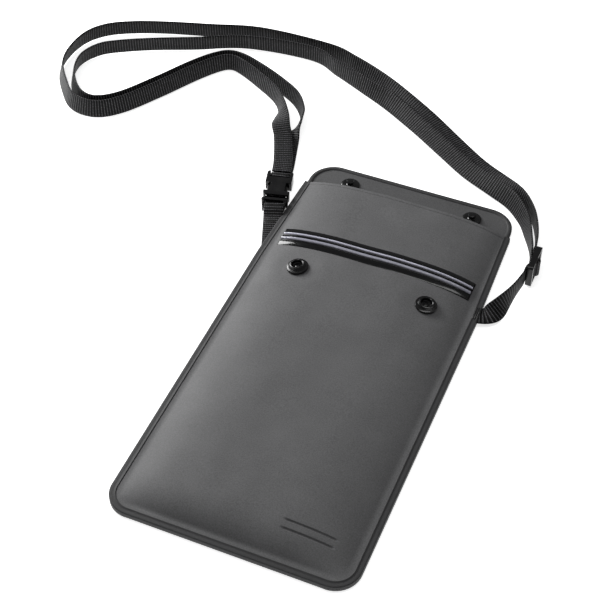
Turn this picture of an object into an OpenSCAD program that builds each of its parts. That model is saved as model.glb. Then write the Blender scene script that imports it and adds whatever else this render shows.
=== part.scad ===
// Neck pouch wallet: a flat pouch with a puffed front, a fold-over top that snaps shut over a
// press-to-close strip, and a doubled webbing neck strap with a side-release buckle.
// The pouch lies on its back. X runs across it, Y from the bottom edge to the top, Z up.
// The origin is on the table, in the middle of the pouch.

/* [Pouch] */
// Width of the pouch over its rim
body_w = 115; // [96:1:140]
// Length of the front, from the bottom edge to the mouth
front_len = 222; // [185:1:268]
// How far the back reaches above the mouth
tongue_len = 18; // [12:0.5:20]
// Width of the tongue above the mouth
tongue_w = 109; // [90:1:114]
// Corner radius at the bottom of the pouch
corner_r = 12; // [8:0.5:16]
// Corner radius of the tongue
tongue_r = 13.5; // [8:0.5:15]
// How much each side draws in towards the mouth
mouth_draw = 2; // [0:0.25:3]
// How far the fold line is below the mouth
fold_drop = 28.25; // [24:0.25:34]

/* [Walls] */
// Thickness of the padded back
back_t = 1.4; // [1.2:0.1:1.8]
// Thickness of the padded front
panel_t = 1.2; // [1:0.1:1.5]
// Width of the pressed rim
rim_w = 3.2; // [2.6:0.1:4]
// Height of the pressed rim above the back
rim_h = 1.4; // [1.3:0.1:1.7]
// How far the front stands up at its middle
puff_h = 6; // [5:0.1:7.2]
// Thickness of the divider between the two pockets
divider_t = 0.4; // [0.3:0.05:0.5]

/* [Seal strip] */
// Distance from the mouth down to the top of the seal strip
seal_drop = 37.6; // [34:0.2:44]
// Width of the whole seal strip
seal_w = 12.2; // [10:0.2:15]
// How far each end of the strip stops short of the rim
seal_inset = 4.8; // [4:0.2:8]

/* [Snaps] */
// Distance between the two snaps
snap_spacing = 66; // [55:1:80]
// Distance from the fold line to each row of snaps
snap_reach = 35.25; // [32:0.25:38]
// Radius of a snap's flange
snap_r = 5.4; // [4.8:0.1:6.6]

/* [Strap] */
// Width of the webbing
web_w = 10; // [8.4:0.2:10.4]
// Thickness of the webbing
web_t = 1; // [0.8:0.1:1.2]

/* [Buckle] */
// Length of a prong from its root to its tip
prong_len = 12; // [10:0.2:13]
// Height of the buckle
buckle_h = 5.4; // [5:0.1:6]

/* [Adjuster] */
// Length of the slide adjuster along the strap
adjuster_len = 17; // [15:0.5:20]
// Thickness of the slide adjuster
adjuster_t = 3; // [2.6:0.1:3.4]

/* [Hidden] */
$fn = 48;

half_w = body_w / 2;
fold_y = front_len - fold_drop;
back_len = front_len + tongue_len;
seam_gap = 0.1;
slide_gap = 0.2;
edge_gap = 0.45;

// The front's crown: flat at the rim, a shallow valley, then a rise to the middle.
inner_half = half_w - rim_w;
valley_w = 2.2;
draw_start = 57;
crown_half = inner_half - valley_w;
crown_power = 3.6;
edge_z = back_t + panel_t;
bottom_rise = 26;
crown_steps = 14;
pocket_gap = 1;

// Seal strip.
seal_top = front_len - seal_drop;
seal_bottom = seal_top - seal_w;
seal_mid = (seal_top + seal_bottom) / 2;
seal_half = inner_half - seal_inset;
seal_rise = 0.7;
ridge_rise = 1.2;
ridge_w = 2;

// Snaps.
snap_x = snap_spacing / 2;
socket_y = fold_y - snap_reach;
stud_y = fold_y + snap_reach;
socket_sink = 0.3;
socket_flange = 0.9;
socket_top = 2;
socket_ring_r = 3.9;
socket_bore_r = 2.6;
socket_floor = 0.5;
rivet_r = 1.6;
rivet_head_r = 3.8;
stud_flange_r = 4.9;
stud_flange = 1;
stud_r = 2;
stud_tip = 4.8;
cap_r = 4.6;
cap_t = 0.6;
pin_clearance = 0.1;

// Everything on the strap moves with the side of the pouch that it hangs on.
drawn_half_w = 57.5;
drawn_fold_y = 193.75;
side_reach = 55;
function side_shift(x) = (half_w - drawn_half_w) * max(-1, min(1, x / side_reach));
function placed(p) = [p[0] + side_shift(p[0]), p[1] + fold_y - drawn_fold_y, p[2], p[3]];

// Buckle, in its own frame: Y points up the strap, the origin is in its middle.
buckle_at = placed([-65.2, 207.9, 0.3, 0]);
buckle_turn = 14.5;
buckle_mid = buckle_h / 2;
female_half = web_w / 2 + 1.8;
female_wall = 1.2;
female_mouth = -4.5;
female_top = 13;
cavity_top = 7.6;
bar_r = 1.1;
female_bar_y = 12;
prong_root = -7;
prong_tip = prong_root + prong_len;
prong_outer = female_half - female_wall - slide_gap - 0.1;
prong_t = 1.3;
prong_h = 2.4;
prong_pivot_x = prong_outer - prong_t / 2 - 0.4;
prong_pivot_y = prong_root + prong_t / 2 + 0.15;
male_half = web_w / 2 + 0.9;
male_bottom = -12.6;
male_bar_y = -11.4;
male_shoulder = -8.6;
knob_half = 6.9;

// Slide adjuster, standing on its edge beside the pouch.
adjuster_at = placed([72.5, 204, 6.5, 0]);
adjuster_h = web_w + 2.7;
adjuster_bar_r = 0.9;
rail_w = 1.15;
end_bar_w = 2.2;
weave_x = adjuster_bar_r + slide_gap + 1.5 * web_t + slide_gap;
under_x = adjuster_t / 2 + slide_gap + web_t / 2;

// Strap routes: x, y, z and the tilt of the webbing in degrees, where 0 lies flat.
outer_route = [
    [-68.8, 221.7, 4.7, 0], [-71.6, 230.5, 4.1, 0], [-79, 248, 4.1, 0],
    [-83.5, 255.5, 5.4, -4], [-87, 264, 4.9, -40], [-90, 271, 5.1, -72], [-97, 279, 5, -76],
    [-111, 287.5, 5, -76], [-124, 294, 5, -80], [-131, 295.5, 5, -82], [-137, 291.5, 5, -80],
    [-146, 279, 5, -74], [-158, 258, 5, -72], [-171, 238, 5, -72], [-183, 229, 5, -72],
    [-197, 230.5, 5, -72], [-208, 241, 5, -72], [-217, 254, 5, -74], [-220, 268, 5, -76],
    [-218, 284, 5, -78], [-210, 295.5, 5, -80], [-196, 304, 5, -80], [-178, 311, 5, -80],
    [-155, 318, 5, -82], [-125, 326.5, 5.05, -84], [-84, 326.5, 5.1, -94],
    [-66, 321, 5, -104], [-48, 313, 4.5, -122], [-30, 304, 3, -148], [-12, 294.5, 1.5, -169],
    [6, 282, 1.2, -176], [24, 268.5, 1.8, -167], [40, 258, 3.4, -145], [52, 250.5, 4.8, -112],
    [61, 241, 5.2, -94], [66, 231, 5.6, -90], [69, 221, 6.2, -90], [70.15, 213.35, 6.5, -90]];
outer_start_end = 2;
outer_end_start = len(outer_route) - 4;
inner_route = [
    [-68.8, 221.7, 1.3, 0], [-70, 229, 1.2, 0], [-74.5, 245, 1.4, 0],
    [-76, 252, 2, -14], [-75, 260, 4.7, -68], [-76.5, 269, 5.1, -80], [-84.5, 279.5, 5.1, -78],
    [-97.5, 287.5, 5.1, -78], [-111.5, 294, 5.1, -78], [-124, 298.5, 5.1, -80], [-133, 299, 5.1, -84],
    [-140, 294, 5.1, -82], [-149, 281.5, 5.1, -75], [-161, 260.5, 5.1, -73], [-173, 242, 5.1, -74],
    [-184, 233.5, 5.1, -76], [-194, 234.5, 5.1, -76], [-203, 243, 5.1, -76], [-209, 254, 5.1, -77],
    [-210.5, 266, 5.1, -78], [-205, 277.5, 5.1, -80], [-194, 285.5, 5.1, -80], [-178, 294, 5.1, -80],
    [-158, 303, 5.1, -82], [-130, 316, 5.1, -84], [-92, 320.5, 5.1, -92],
    [-74, 313.5, 5.05, -96], [-55, 305.5, 4.85, -108], [-37, 298, 4.3, -130], [-17, 287, 3.3, -152],
    [2, 274.5, 3.1, -156], [20, 262.5, 3.3, -153], [36, 254, 4.2, -138], [48, 247, 4.8, -122],
    [57, 237.5, 5, -108], [62.5, 228, 5.4, -102], [66.5, 219, 6.2, -92], [68.7, 213, 6.5, -90],
    [69.6, 208.5, 6.5, -90], [70.4, 205.5, 6.5, -90]];
inner_start_end = 2;
inner_end_start = len(inner_route) - 6;
right_route = [
    [55.7, 166.2, 1.9, 0], [60.3, 167.6, 1.9, 0], [63.6, 171.4, 3, 32], [66.2, 177.4, 4.8, 66],
    [68.4, 185, 6, 85], [70.2, 194, 6.5, 90]];
tab_turn = 6.5;
tab_reach = 27.5;
tab_z = back_t - buckle_at[2];

// Moves the drawing from the bottom edge to the middle of the pouch.
module framed() {
    translate([0, -back_len / 2, 0]) children();
}

// Round-cornered strip between two heights, drawn with true arcs.
module slab_outline(w, y0, y1, r) {
    hull_w = w / 2 - r;
    translate([-w / 2, y0 + r]) square([w, y1 - y0 - 2 * r]);
    translate([-hull_w, y0]) square([2 * hull_w, y1 - y0]);
    for (x = [-hull_w, hull_w], y = [y0 + r, y1 - r]) translate([x, y]) circle(r);
}

module pouch_outline(inset = 0) {
    w = half_w - inset;
    intersection() {
        slab_outline(2 * w, inset, back_len + 60, corner_r - inset);
        polygon([[-w, 0], [-w, front_len - draw_start], [mouth_draw - w, front_len],
            [mouth_draw - w, back_len + 20], [w - mouth_draw, back_len + 20],
            [w - mouth_draw, front_len], [w, front_len - draw_start], [w, 0]]);
    }
}

// Keeps what lies between two distances from the bottom edge.
module between(y0, y1) {
    intersection() {
        children();
        translate([-body_w, y0, -10]) cube([2 * body_w, y1 - y0, 60]);
    }
}

function crown(u) = 1 - pow(min(1, abs(u)), crown_power);
function crown_z(x) = edge_z + puff_h * crown(x / crown_half);
function rise_z(y) = edge_z + puff_h * crown(max(0, 1 - (y - rim_w - valley_w) / bottom_rise));

// The space under the front's outer face, raised or lowered by dz.
module dome(dz) {
    xs = [for (i = [-crown_steps : crown_steps]) crown_half * i / crown_steps];
    ys = [for (i = [0 : crown_steps]) rim_w + valley_w + bottom_rise * i / crown_steps];
    base_z = -5;
    intersection() {
        translate([0, back_len, 0]) rotate([90, 0, 0]) linear_extrude(back_len)
            polygon(concat([[-inner_half, base_z], [-inner_half, edge_z + dz]],
                [for (x = xs) [x, crown_z(x) + dz]],
                [[inner_half, edge_z + dz], [inner_half, base_z]]));
        rotate([90, 0, 90]) translate([0, 0, -half_w]) linear_extrude(body_w)
            polygon(concat([[rim_w, base_z], [rim_w, edge_z + dz]],
                [for (y = ys) [y, rise_z(y) + dz]],
                [[back_len, edge_z + puff_h + dz], [back_len, base_z]]));
        translate([0, 0, back_t]) linear_extrude(30) pouch_outline(rim_w);
    }
}

module front_shell() {
    difference() {
        dome(0);
        dome(-panel_t);
    }
}

// A band of the crown between two heights from its outer face.
module crown_band(half, low, high, y0, y1) {
    xs = [for (i = [-crown_steps : crown_steps]) half * i / crown_steps];
    translate([0, y1, 0]) rotate([90, 0, 0]) linear_extrude(y1 - y0)
        polygon(concat([for (x = xs) [x, crown_z(x) + high]],
            [for (i = [len(xs) - 1 : -1 : 0]) [xs[i], crown_z(xs[i]) + low]]));
}

// Puts children on the front's outer face at a snap, square to the cloth.
module at_socket(side) {
    slope = puff_h * crown_power * pow(snap_x / crown_half, crown_power - 1) / crown_half;
    translate([side * snap_x, socket_y, crown_z(snap_x)]) rotate([0, side * atan(slope), 0])
        children();
}

module snap_socket(side) {
    at_socket(side) difference() {
        union() {
            translate([0, 0, -socket_sink]) cylinder(h = socket_flange, r = snap_r);
            cylinder(h = socket_top, r = socket_ring_r);
        }
        translate([0, 0, socket_floor]) cylinder(h = socket_top, r = socket_bore_r);
    }
}

module socket_rivet(side) {
    at_socket(side) {
        translate([0, 0, -panel_t - 0.7]) cylinder(h = 0.5, r = rivet_head_r);
        translate([0, 0, -panel_t - 0.2]) cylinder(h = panel_t + 0.2 - socket_sink, r = rivet_r);
    }
}

module snap_stud(side) {
    translate([side * snap_x, stud_y, back_t]) {
        cylinder(h = stud_flange, r = stud_flange_r);
        cylinder(h = stud_tip - back_t, r = stud_r);
    }
}

module snap_cap(side) {
    translate([side * snap_x, stud_y, 0]) {
        cylinder(h = cap_t, r = cap_r);
        cylinder(h = back_t, r = rivet_r);
    }
}

// Webbing swept along a route, its section turned by each point's tilt. The two wide faces are
// cut along the same diagonal, so that they stay one thickness apart where the webbing twists.
function unit(v) = v / norm(v);
function heading(r, i) = unit([for (k = [0 : 2]) r[min(i + 1, len(r) - 1)][k] - r[max(i - 1, 0)][k]]);
function ring(r, i, w, t) =
    let (d = heading(r, i), side = unit(cross([0, 0, 1], d)), lift = cross(d, side), a = r[i][3],
        across = cos(a) * side + sin(a) * lift, through = cos(a) * lift - sin(a) * side,
        edge = 0.3)
    [for (q = [[w / 2, t / 2 - edge], [w / 2 - edge, t / 2], [edge - w / 2, t / 2],
        [-w / 2, t / 2 - edge], [-w / 2, edge - t / 2], [edge - w / 2, -t / 2],
        [w / 2 - edge, -t / 2], [w / 2, edge - t / 2]])
        [r[i][0], r[i][1], r[i][2]] + q[0] * across + q[1] * through];
module webbing(route, first, last, w = web_w, t = web_t) {
    pts = [for (p = route) placed(p)];
    n = last - first;
    points = [for (i = [first : last]) each ring(pts, i, w, t)];
    faces = concat([[for (k = [0 : 7]) k]], [[for (k = [7 : -1 : 0]) 8 * n + k]],
        [for (i = [0 : n - 1], k = [0 : 7]) let (a = 8 * i + k, b = 8 * i + (k + 1) % 8)
            each k < 4 ? [[a, b + 8, b], [a, a + 8, b + 8]] : [[a, a + 8, b], [b, a + 8, b + 8]]]);
    polyhedron(points, faces, convexity = 10);
}

// A row of raised stitches across the webbing.
module bar_tack(rows, pitch) {
    for (i = [0 : rows - 1])
        translate([-0.28 * web_w, (i - (rows - 1) / 2) * pitch - 0.25, 0])
            cube([0.56 * web_w, 0.5, 0.3]);
}

module at_buckle() {
    translate([buckle_at[0], buckle_at[1], buckle_at[2]]) rotate([0, 0, buckle_turn]) children();
}

// The tab's own frame: it hangs down from the bar of the buckle's lower half.
module at_tab() {
    at_buckle() translate([0, male_bar_y, 0]) rotate([0, 0, tab_turn]) children();
}

module at_adjuster() {
    translate([adjuster_at[0], adjuster_at[1], adjuster_at[2]]) children();
}

// Webbing passed round a bar that lies along X, from above to below.
module bar_sleeve(inner_r, w) {
    rotate([0, 90, 0]) difference() {
        cylinder(h = w, r = inner_r + web_t, center = true);
        cylinder(h = w + 1, r = inner_r, center = true);
    }
}

module back_panel() {
    color("#4b4b4c") framed() between(0, fold_y - seam_gap) linear_extrude(back_t) pouch_outline();
}

module pocket_divider() {
    color("#3a3a3c") framed() between(0, fold_y - 4) difference() {
        dome(-panel_t - pocket_gap);
        dome(-panel_t - pocket_gap - divider_t);
    }
}

module front_lower_panel() {
    color("#6b6b6c") framed() difference() {
        between(0, seal_bottom - seam_gap) front_shell();
        for (side = [-1, 1]) at_socket(side) {
            translate([0, 0, -socket_sink]) cylinder(h = 10, r = snap_r + pin_clearance);
            translate([0, 0, -5]) cylinder(h = 10, r = rivet_r + pin_clearance);
        }
    }
}

module front_upper_panel() {
    color("#6b6b6c") framed() {
        between(seal_top + seam_gap, fold_y - seam_gap) front_shell();
        // Side strips that carry the front past the ends of the seal.
        for (side = [0, 1]) mirror([side, 0, 0]) between(seal_bottom, seal_top + 2 * seam_gap)
            intersection() {
                front_shell();
                translate([seal_half + slide_gap, 0, 0]) cube([body_w, back_len, 30]);
            }
    }
}

module front_rim() {
    color("#3d3d3f") framed() difference() {
        between(0, fold_y - seam_gap) translate([0, 0, back_t]) linear_extrude(rim_h)
            difference() {
                pouch_outline();
                pouch_outline(rim_w);
            }
        // Hollows under the rim where the webbing is sewn in.
        at_tab() translate([-web_w / 2 - pin_clearance, -tab_reach - 0.5, tab_z - 1])
            cube([web_w + 2 * pin_clearance, tab_reach, web_t + 1 + 0.05]);
        translate([half_w - 10, placed([0, 160.8, 0, 0])[1], back_t - 1])
            cube([20, 11.4, web_t + 1 + 0.05]);
    }
}

module seal_lower_track() {
    color("#161617") framed() {
        crown_band(seal_half, -panel_t, seal_rise, seal_bottom, seal_mid - slide_gap / 2);
        crown_band(seal_half, 0, ridge_rise, seal_mid - slide_gap / 2 - ridge_w,
            seal_mid - slide_gap / 2);
    }
}

module seal_upper_track() {
    color("#161617") framed() {
        crown_band(seal_half, -panel_t, seal_rise, seal_mid + slide_gap / 2, seal_top);
        crown_band(seal_half, 0, ridge_rise, seal_mid + slide_gap / 2,
            seal_mid + slide_gap / 2 + ridge_w);
    }
}

module tongue_outline(inset = 0) {
    intersection() {
        slab_outline(tongue_w - 2 * inset, fold_y - 40, back_len - inset, tongue_r - inset);
        translate([-body_w, fold_y]) square([2 * body_w, 2 * back_len]);
    }
}

module back_flap() {
    color("#4b4b4c") framed() difference() {
        linear_extrude(back_t) {
            tongue_outline();
            intersection() {
                pouch_outline();
                translate([-half_w, fold_y]) square([body_w, fold_drop]);
            }
        }
        for (side = [-1, 1]) translate([side * snap_x, stud_y, -1]) {
            cylinder(h = 1 + cap_t, r = cap_r + pin_clearance);
            cylinder(h = 5, r = rivet_r + pin_clearance);
        }
        translate([-body_w, fold_y - 1, -1]) cube([2 * body_w, 1 + seam_gap, 10]);
    }
}

module front_flap_panel() {
    color("#6b6b6c") framed() between(fold_y + seam_gap, front_len) front_shell();
}

module flap_rims() {
    color("#3d3d3f") framed() between(fold_y + seam_gap, front_len) translate([0, 0, back_t])
        linear_extrude(rim_h) difference() {
            pouch_outline();
            pouch_outline(rim_w);
        }
}

module flap_edge() {
    color("#3d3d3f") framed() between(front_len + seam_gap, back_len) translate([0, 0, back_t])
        linear_extrude(0.5) difference() {
            tongue_outline();
            tongue_outline(2.4);
        }
}

module left_snap_socket() { color("#0e0e0f") framed() snap_socket(-1); }
module right_snap_socket() { color("#0e0e0f") framed() snap_socket(1); }
module left_socket_rivet() { color("#0e0e0f") framed() socket_rivet(-1); }
module right_socket_rivet() { color("#0e0e0f") framed() socket_rivet(1); }
module left_snap_stud() { color("#0e0e0f") framed() snap_stud(-1); }
module right_snap_stud() { color("#0e0e0f") framed() snap_stud(1); }
module left_snap_cap() { color("#0e0e0f") framed() snap_cap(-1); }
module right_snap_cap() { color("#0e0e0f") framed() snap_cap(1); }

module left_tab() {
    color("#1d1d1f") framed() {
        difference() {
            at_tab() rotate([90, 0, 90]) linear_extrude(web_w, center = true)
                polygon([[-tab_reach, tab_z], [-5.5, tab_z], [-1.9, buckle_mid - web_t / 2],
                    [-1.9, buckle_mid + web_t / 2], [-5.5, tab_z + web_t],
                    [-tab_reach, tab_z + web_t]]);
            translate([0, 0, -5]) linear_extrude(30) pouch_outline(rim_w - 0.05);
            translate([0, 0, back_t + web_t + 0.05]) linear_extrude(30) pouch_outline();
            // Keeps clear of the top as it folds.
            between(fold_y - 0.6, back_len) translate([0, 0, -5]) linear_extrude(30)
                pouch_outline(-edge_gap);
        }
        at_buckle() translate([0, male_bar_y, buckle_mid]) bar_sleeve(bar_r + slide_gap / 2, web_w);
    }
}

module left_tab_stitching() {
    color("#2c2c2e") framed() at_tab() translate([-0.15 * web_w, -9.5, tab_z + web_t])
        bar_tack(4, 1.2);
}

module buckle_male() {
    color("#121213") framed() difference() {
        at_buckle() {
            // Arms that hold the webbing bar, and the shoulders that the halves meet at.
            for (side = [0, 1]) mirror([side, 0, 0])
                translate([web_w / 2 + 0.2, male_bottom, 0.6])
                    cube([male_half - web_w / 2 - 0.2, male_shoulder - male_bottom, buckle_h - 1.2]);
            translate([0, male_bar_y, buckle_mid]) rotate([0, 90, 0])
                cylinder(h = 2 * male_half - 1, r = bar_r, center = true);
            translate([0, (male_shoulder + prong_root) / 2, 0])
                linear_extrude(buckle_h) slab_outline(2 * male_half + 0.6,
                    -(prong_root - male_shoulder) / 2, (prong_root - male_shoulder) / 2, 0.7);
            for (side = [-1, 1])
                translate([side * (knob_half - 1.3), (male_shoulder + prong_root) / 2, 0.5])
                    cylinder(h = buckle_h - 1, r = 1.3);
            // Guide tongue between the prongs.
            translate([-1.2, prong_root - 0.2, buckle_mid - 1.1])
                cube([2.4, prong_len - 0.6, 2.2]);
        }
        translate([0, 0, -5]) linear_extrude(30) pouch_outline(-edge_gap);
    }
}

// A springy prong with a round-nosed ear, on the +X side.
module prong() {
    translate([0, 0, buckle_mid - prong_h / 2]) linear_extrude(prong_h) {
        translate([prong_pivot_x, prong_pivot_y]) circle(prong_t / 2);
        translate([prong_pivot_x - prong_t / 2, prong_pivot_y])
            square([prong_t, prong_tip - 2 - prong_pivot_y]);
        translate([prong_outer - prong_t, prong_tip - 5.4]) square([prong_t, 4.1]);
        translate([prong_outer - 1.3, prong_tip - 1.3]) circle(1.3);
    }
}

module left_prong() { color("#121213") framed() at_buckle() mirror([1, 0, 0]) prong(); }
module right_prong() { color("#121213") framed() at_buckle() prong(); }

module buckle_female() {
    wall = female_wall;
    color("#121213") framed() at_buckle() difference() {
        linear_extrude(buckle_h) slab_outline(2 * female_half, female_mouth, female_top + 0.4, 1.4);
        // Socket for the prongs.
        translate([wall - female_half, female_mouth - 1, wall])
            cube([2 * (female_half - wall), cavity_top - female_mouth + 1, buckle_h - 2 * wall]);
        // Windows that bare the prongs' ears.
        for (side = [0, 1]) mirror([side, 0, 0]) {
            translate([female_half - wall - 1.6, -1.6, -1])
                cube([wall + 5, 6.4, buckle_h + 2]);
        }
        // Gap for the webbing round its bar.
        translate([-web_w / 2 - 0.2, 8.9, -1]) cube([web_w + 0.4, 10, buckle_h + 2]);
    }
    color("#121213") framed() at_buckle() translate([0, female_bar_y, buckle_mid]) rotate([0, 90, 0])
        cylinder(h = web_w + 1.4, r = bar_r, center = true);
}

module buckle_loop() {
    color("#1d1d1f") framed() at_buckle() translate([0, female_bar_y, buckle_mid])
        bar_sleeve(bar_r + slide_gap / 2, web_w);
}

module outer_leg_start() { color("#1d1d1f") framed() webbing(outer_route, 0, outer_start_end); }
module outer_leg() { color("#1d1d1f") framed() webbing(outer_route, outer_start_end, outer_end_start); }
module outer_leg_end() {
    color("#1d1d1f") framed() webbing(outer_route, outer_end_start, len(outer_route) - 1);
}
module inner_leg_start() { color("#1d1d1f") framed() webbing(inner_route, 0, inner_start_end); }
module inner_leg() { color("#1d1d1f") framed() webbing(inner_route, inner_start_end, inner_end_start); }
module inner_leg_end() {
    color("#1d1d1f") framed() webbing(inner_route, inner_end_start, len(inner_route) - 1);
}

module slide_adjuster() {
    color("#151516") framed() at_adjuster() {
        rotate([90, 0, 90]) translate([0, 0, -adjuster_t / 2]) linear_extrude(adjuster_t)
            translate([0, -adjuster_h / 2]) difference() {
                slab_outline(adjuster_len, 0, adjuster_h, 1.5);
                translate([end_bar_w - adjuster_len / 2, rail_w])
                    square([adjuster_len - 2 * end_bar_w, adjuster_h - 2 * rail_w]);
            }
        cylinder(h = adjuster_h - 1, r = adjuster_bar_r, center = true);
    }
}

module adjuster_loop() {
    color("#1d1d1f") framed() at_adjuster() difference() {
        cylinder(h = web_w, r = adjuster_bar_r + slide_gap + web_t, center = true);
        cylinder(h = web_w + 1, r = adjuster_bar_r + slide_gap, center = true);
    }
}

// The strap's pass over the adjuster's middle bar, from behind one end bar to behind the other.
module adjuster_weave() {
    half = adjuster_len / 2;
    xs = [-under_x, -under_x, -0.2, weave_x, weave_x, -0.2, -under_x, -under_x];
    ys = [half + 0.5, half - end_bar_w, half - 5, 1.4, -1.4, 5 - half, end_bar_w - half, -half - 0.5];
    color("#1d1d1f") framed() at_adjuster() translate([0, 0, -web_w / 2]) linear_extrude(web_w)
        polygon(concat([for (i = [0 : 7]) [xs[i] - web_t / 2, ys[i]]],
            [for (i = [7 : -1 : 0]) [xs[i] + web_t / 2, ys[i]]]));
}

module right_strap() { color("#1d1d1f") framed() webbing(right_route, 0, len(right_route) - 1); }

module right_strap_stitching() {
    color("#2c2c2e") framed() translate([half_w - 1.6, placed([0, 166.6, 0, 0])[1], back_t + rim_h])
        for (i = [-1, 0, 1]) translate([i * 0.9 - 0.2, -4, 0]) cube([0.4, 8, 0.25]);
}

back_panel();
pocket_divider();
front_lower_panel();
front_upper_panel();
front_rim();
seal_lower_track();
seal_upper_track();
left_snap_socket();
right_snap_socket();
left_socket_rivet();
right_socket_rivet();
back_flap();
front_flap_panel();
flap_rims();
flap_edge();
left_snap_stud();
right_snap_stud();
left_snap_cap();
right_snap_cap();
left_tab();
left_tab_stitching();
buckle_male();
left_prong();
right_prong();
buckle_female();
buckle_loop();
outer_leg_start();
outer_leg();
outer_leg_end();
inner_leg_start();
inner_leg();
inner_leg_end();
slide_adjuster();
adjuster_loop();
adjuster_weave();
right_strap();
right_strap_stitching();
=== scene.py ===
import math

import bmesh
import bpy
from mathutils import Matrix, Vector, noise


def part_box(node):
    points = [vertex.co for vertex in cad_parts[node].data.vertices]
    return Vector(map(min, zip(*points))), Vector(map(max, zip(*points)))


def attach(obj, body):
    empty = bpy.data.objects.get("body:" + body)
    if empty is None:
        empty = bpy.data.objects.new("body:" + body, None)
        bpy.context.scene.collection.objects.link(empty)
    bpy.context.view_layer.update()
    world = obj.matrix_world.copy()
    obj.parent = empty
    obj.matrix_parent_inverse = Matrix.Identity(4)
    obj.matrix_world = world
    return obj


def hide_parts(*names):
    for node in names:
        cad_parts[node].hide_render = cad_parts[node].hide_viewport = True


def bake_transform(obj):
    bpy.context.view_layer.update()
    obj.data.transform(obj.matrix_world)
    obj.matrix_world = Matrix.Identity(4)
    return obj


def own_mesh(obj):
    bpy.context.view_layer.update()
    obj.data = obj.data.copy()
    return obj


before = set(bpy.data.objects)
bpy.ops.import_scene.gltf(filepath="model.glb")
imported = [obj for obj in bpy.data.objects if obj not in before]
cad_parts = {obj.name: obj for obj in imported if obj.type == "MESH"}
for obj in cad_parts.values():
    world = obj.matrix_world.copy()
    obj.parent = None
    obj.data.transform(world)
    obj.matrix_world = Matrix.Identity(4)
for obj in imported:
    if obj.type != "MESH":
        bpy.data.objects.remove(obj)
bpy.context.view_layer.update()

bl_info = {
    "name": "Neck pouch wallet",
    "version": (1, 0, 0),
    "blender": (4, 5, 0),
    "location": "3D View > Sidebar > Neck pouch",
    "description": "Dresses the neck pouch's frame in padded cloth, webbing, snaps and a buckle",
    "category": "Object",
}

MM = 0.001


def mm_box(node):
    """Lowest and highest corner of a CAD node, in millimetres."""
    low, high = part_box(node)
    return [c / MM for c in low], [c / MM for c in high]


# Sizes read off the frame, in millimetres.
BACK_LOW, BACK_HIGH = mm_box("back_panel")
FLAP_LOW, FLAP_HIGH = mm_box("back_flap")
TRACK_LOW, TRACK_HIGH = mm_box("seal_lower_track")
HALF_W, _, BACK_T = BACK_HIGH
INNER_HALF, _, CREST = mm_box("front_lower_panel")[1]
RIM_W = HALF_W - INNER_HALF
RIM_TOP = mm_box("front_rim")[1][2]
TONGUE_HALF = mm_box("flap_edge")[1][0]
BOTTOM_Y = BACK_LOW[1]
FOLD_Y = (BACK_HIGH[1] + FLAP_LOW[1]) / 2
MOUTH_Y = mm_box("front_flap_panel")[1][1]
BACK_TOP_Y = FLAP_HIGH[1]
SEAL_BOTTOM = TRACK_LOW[1]
SEAL_TOP = mm_box("seal_upper_track")[1][1]
SEAL_HALF = TRACK_HIGH[0]
SNAP_X, STUD_Y = ((a + b) / 2 for a, b in zip(*(c[:2] for c in mm_box("right_snap_stud"))))
SOCKET_Y = sum(corner[1] for corner in mm_box("right_snap_socket")) / 2

# Sizes of the padding, its corners and its pressed details, in millimetres.
PANEL_T = 1.2
EDGE_Z = BACK_T + PANEL_T
VALLEY = 2.2
CROWN_HALF = INNER_HALF - VALLEY
CROWN_POWER = 3.6
BOTTOM_RISE = 26
CORNER_R = 12
TONGUE_R = 13.5
MOUTH_DRAW = 2
DRAW_START = MOUTH_Y - 57
FOLD_HALF = 3
TONGUE_DROP = 0.05
HEM_W = 1.8
MARK_X, MARK_HALF = 31, 11
MARK_ROWS = (BOTTOM_Y + 16.5, BOTTOM_Y + 20.5)

# Routes of the webbing: x, y, z in millimetres from the bottom edge, and its tilt in degrees.
WEB_W = 10
WEB_T = 1
ROUTE_Y = 120
OUTER_ROUTE = [
    (-68.8, 221.7, 4.7, 0), (-71.6, 230.5, 4.1, 0), (-79, 248, 4.1, 0),
    (-83.5, 255.5, 5.4, -4), (-87, 264, 4.9, -40), (-90, 271, 5.1, -72), (-97, 279, 5, -76),
    (-111, 287.5, 5, -76), (-124, 294, 5, -80), (-131, 295.5, 5, -82), (-137, 291.5, 5, -80),
    (-146, 279, 5, -74),
    (-158, 258, 5, -72), (-171, 238, 5, -72), (-183, 229, 5, -72), (-197, 230.5, 5, -72),
    (-208, 241, 5, -72), (-217, 254, 5, -74), (-220, 268, 5, -76), (-218, 284, 5, -78),
    (-210, 295.5, 5, -80), (-196, 304, 5, -80), (-178, 311, 5, -80), (-155, 318, 5, -82),
    (-125, 326.5, 5.05, -84), (-84, 326.5, 5.1, -94), (-66, 321, 5, -104), (-48, 313, 4.5, -122),
    (-30, 304, 3, -148), (-12, 294.5, 1.5, -169), (6, 282, 1.2, -176), (24, 268.5, 1.8, -167),
    (40, 258, 3.4, -145), (52, 250.5, 4.8, -112), (61, 241, 5.2, -94), (66, 231, 5.6, -90),
    (69, 221, 6.2, -90), (70.15, 213.35, 6.5, -90)]
OUTER_SPLIT = 24
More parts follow.
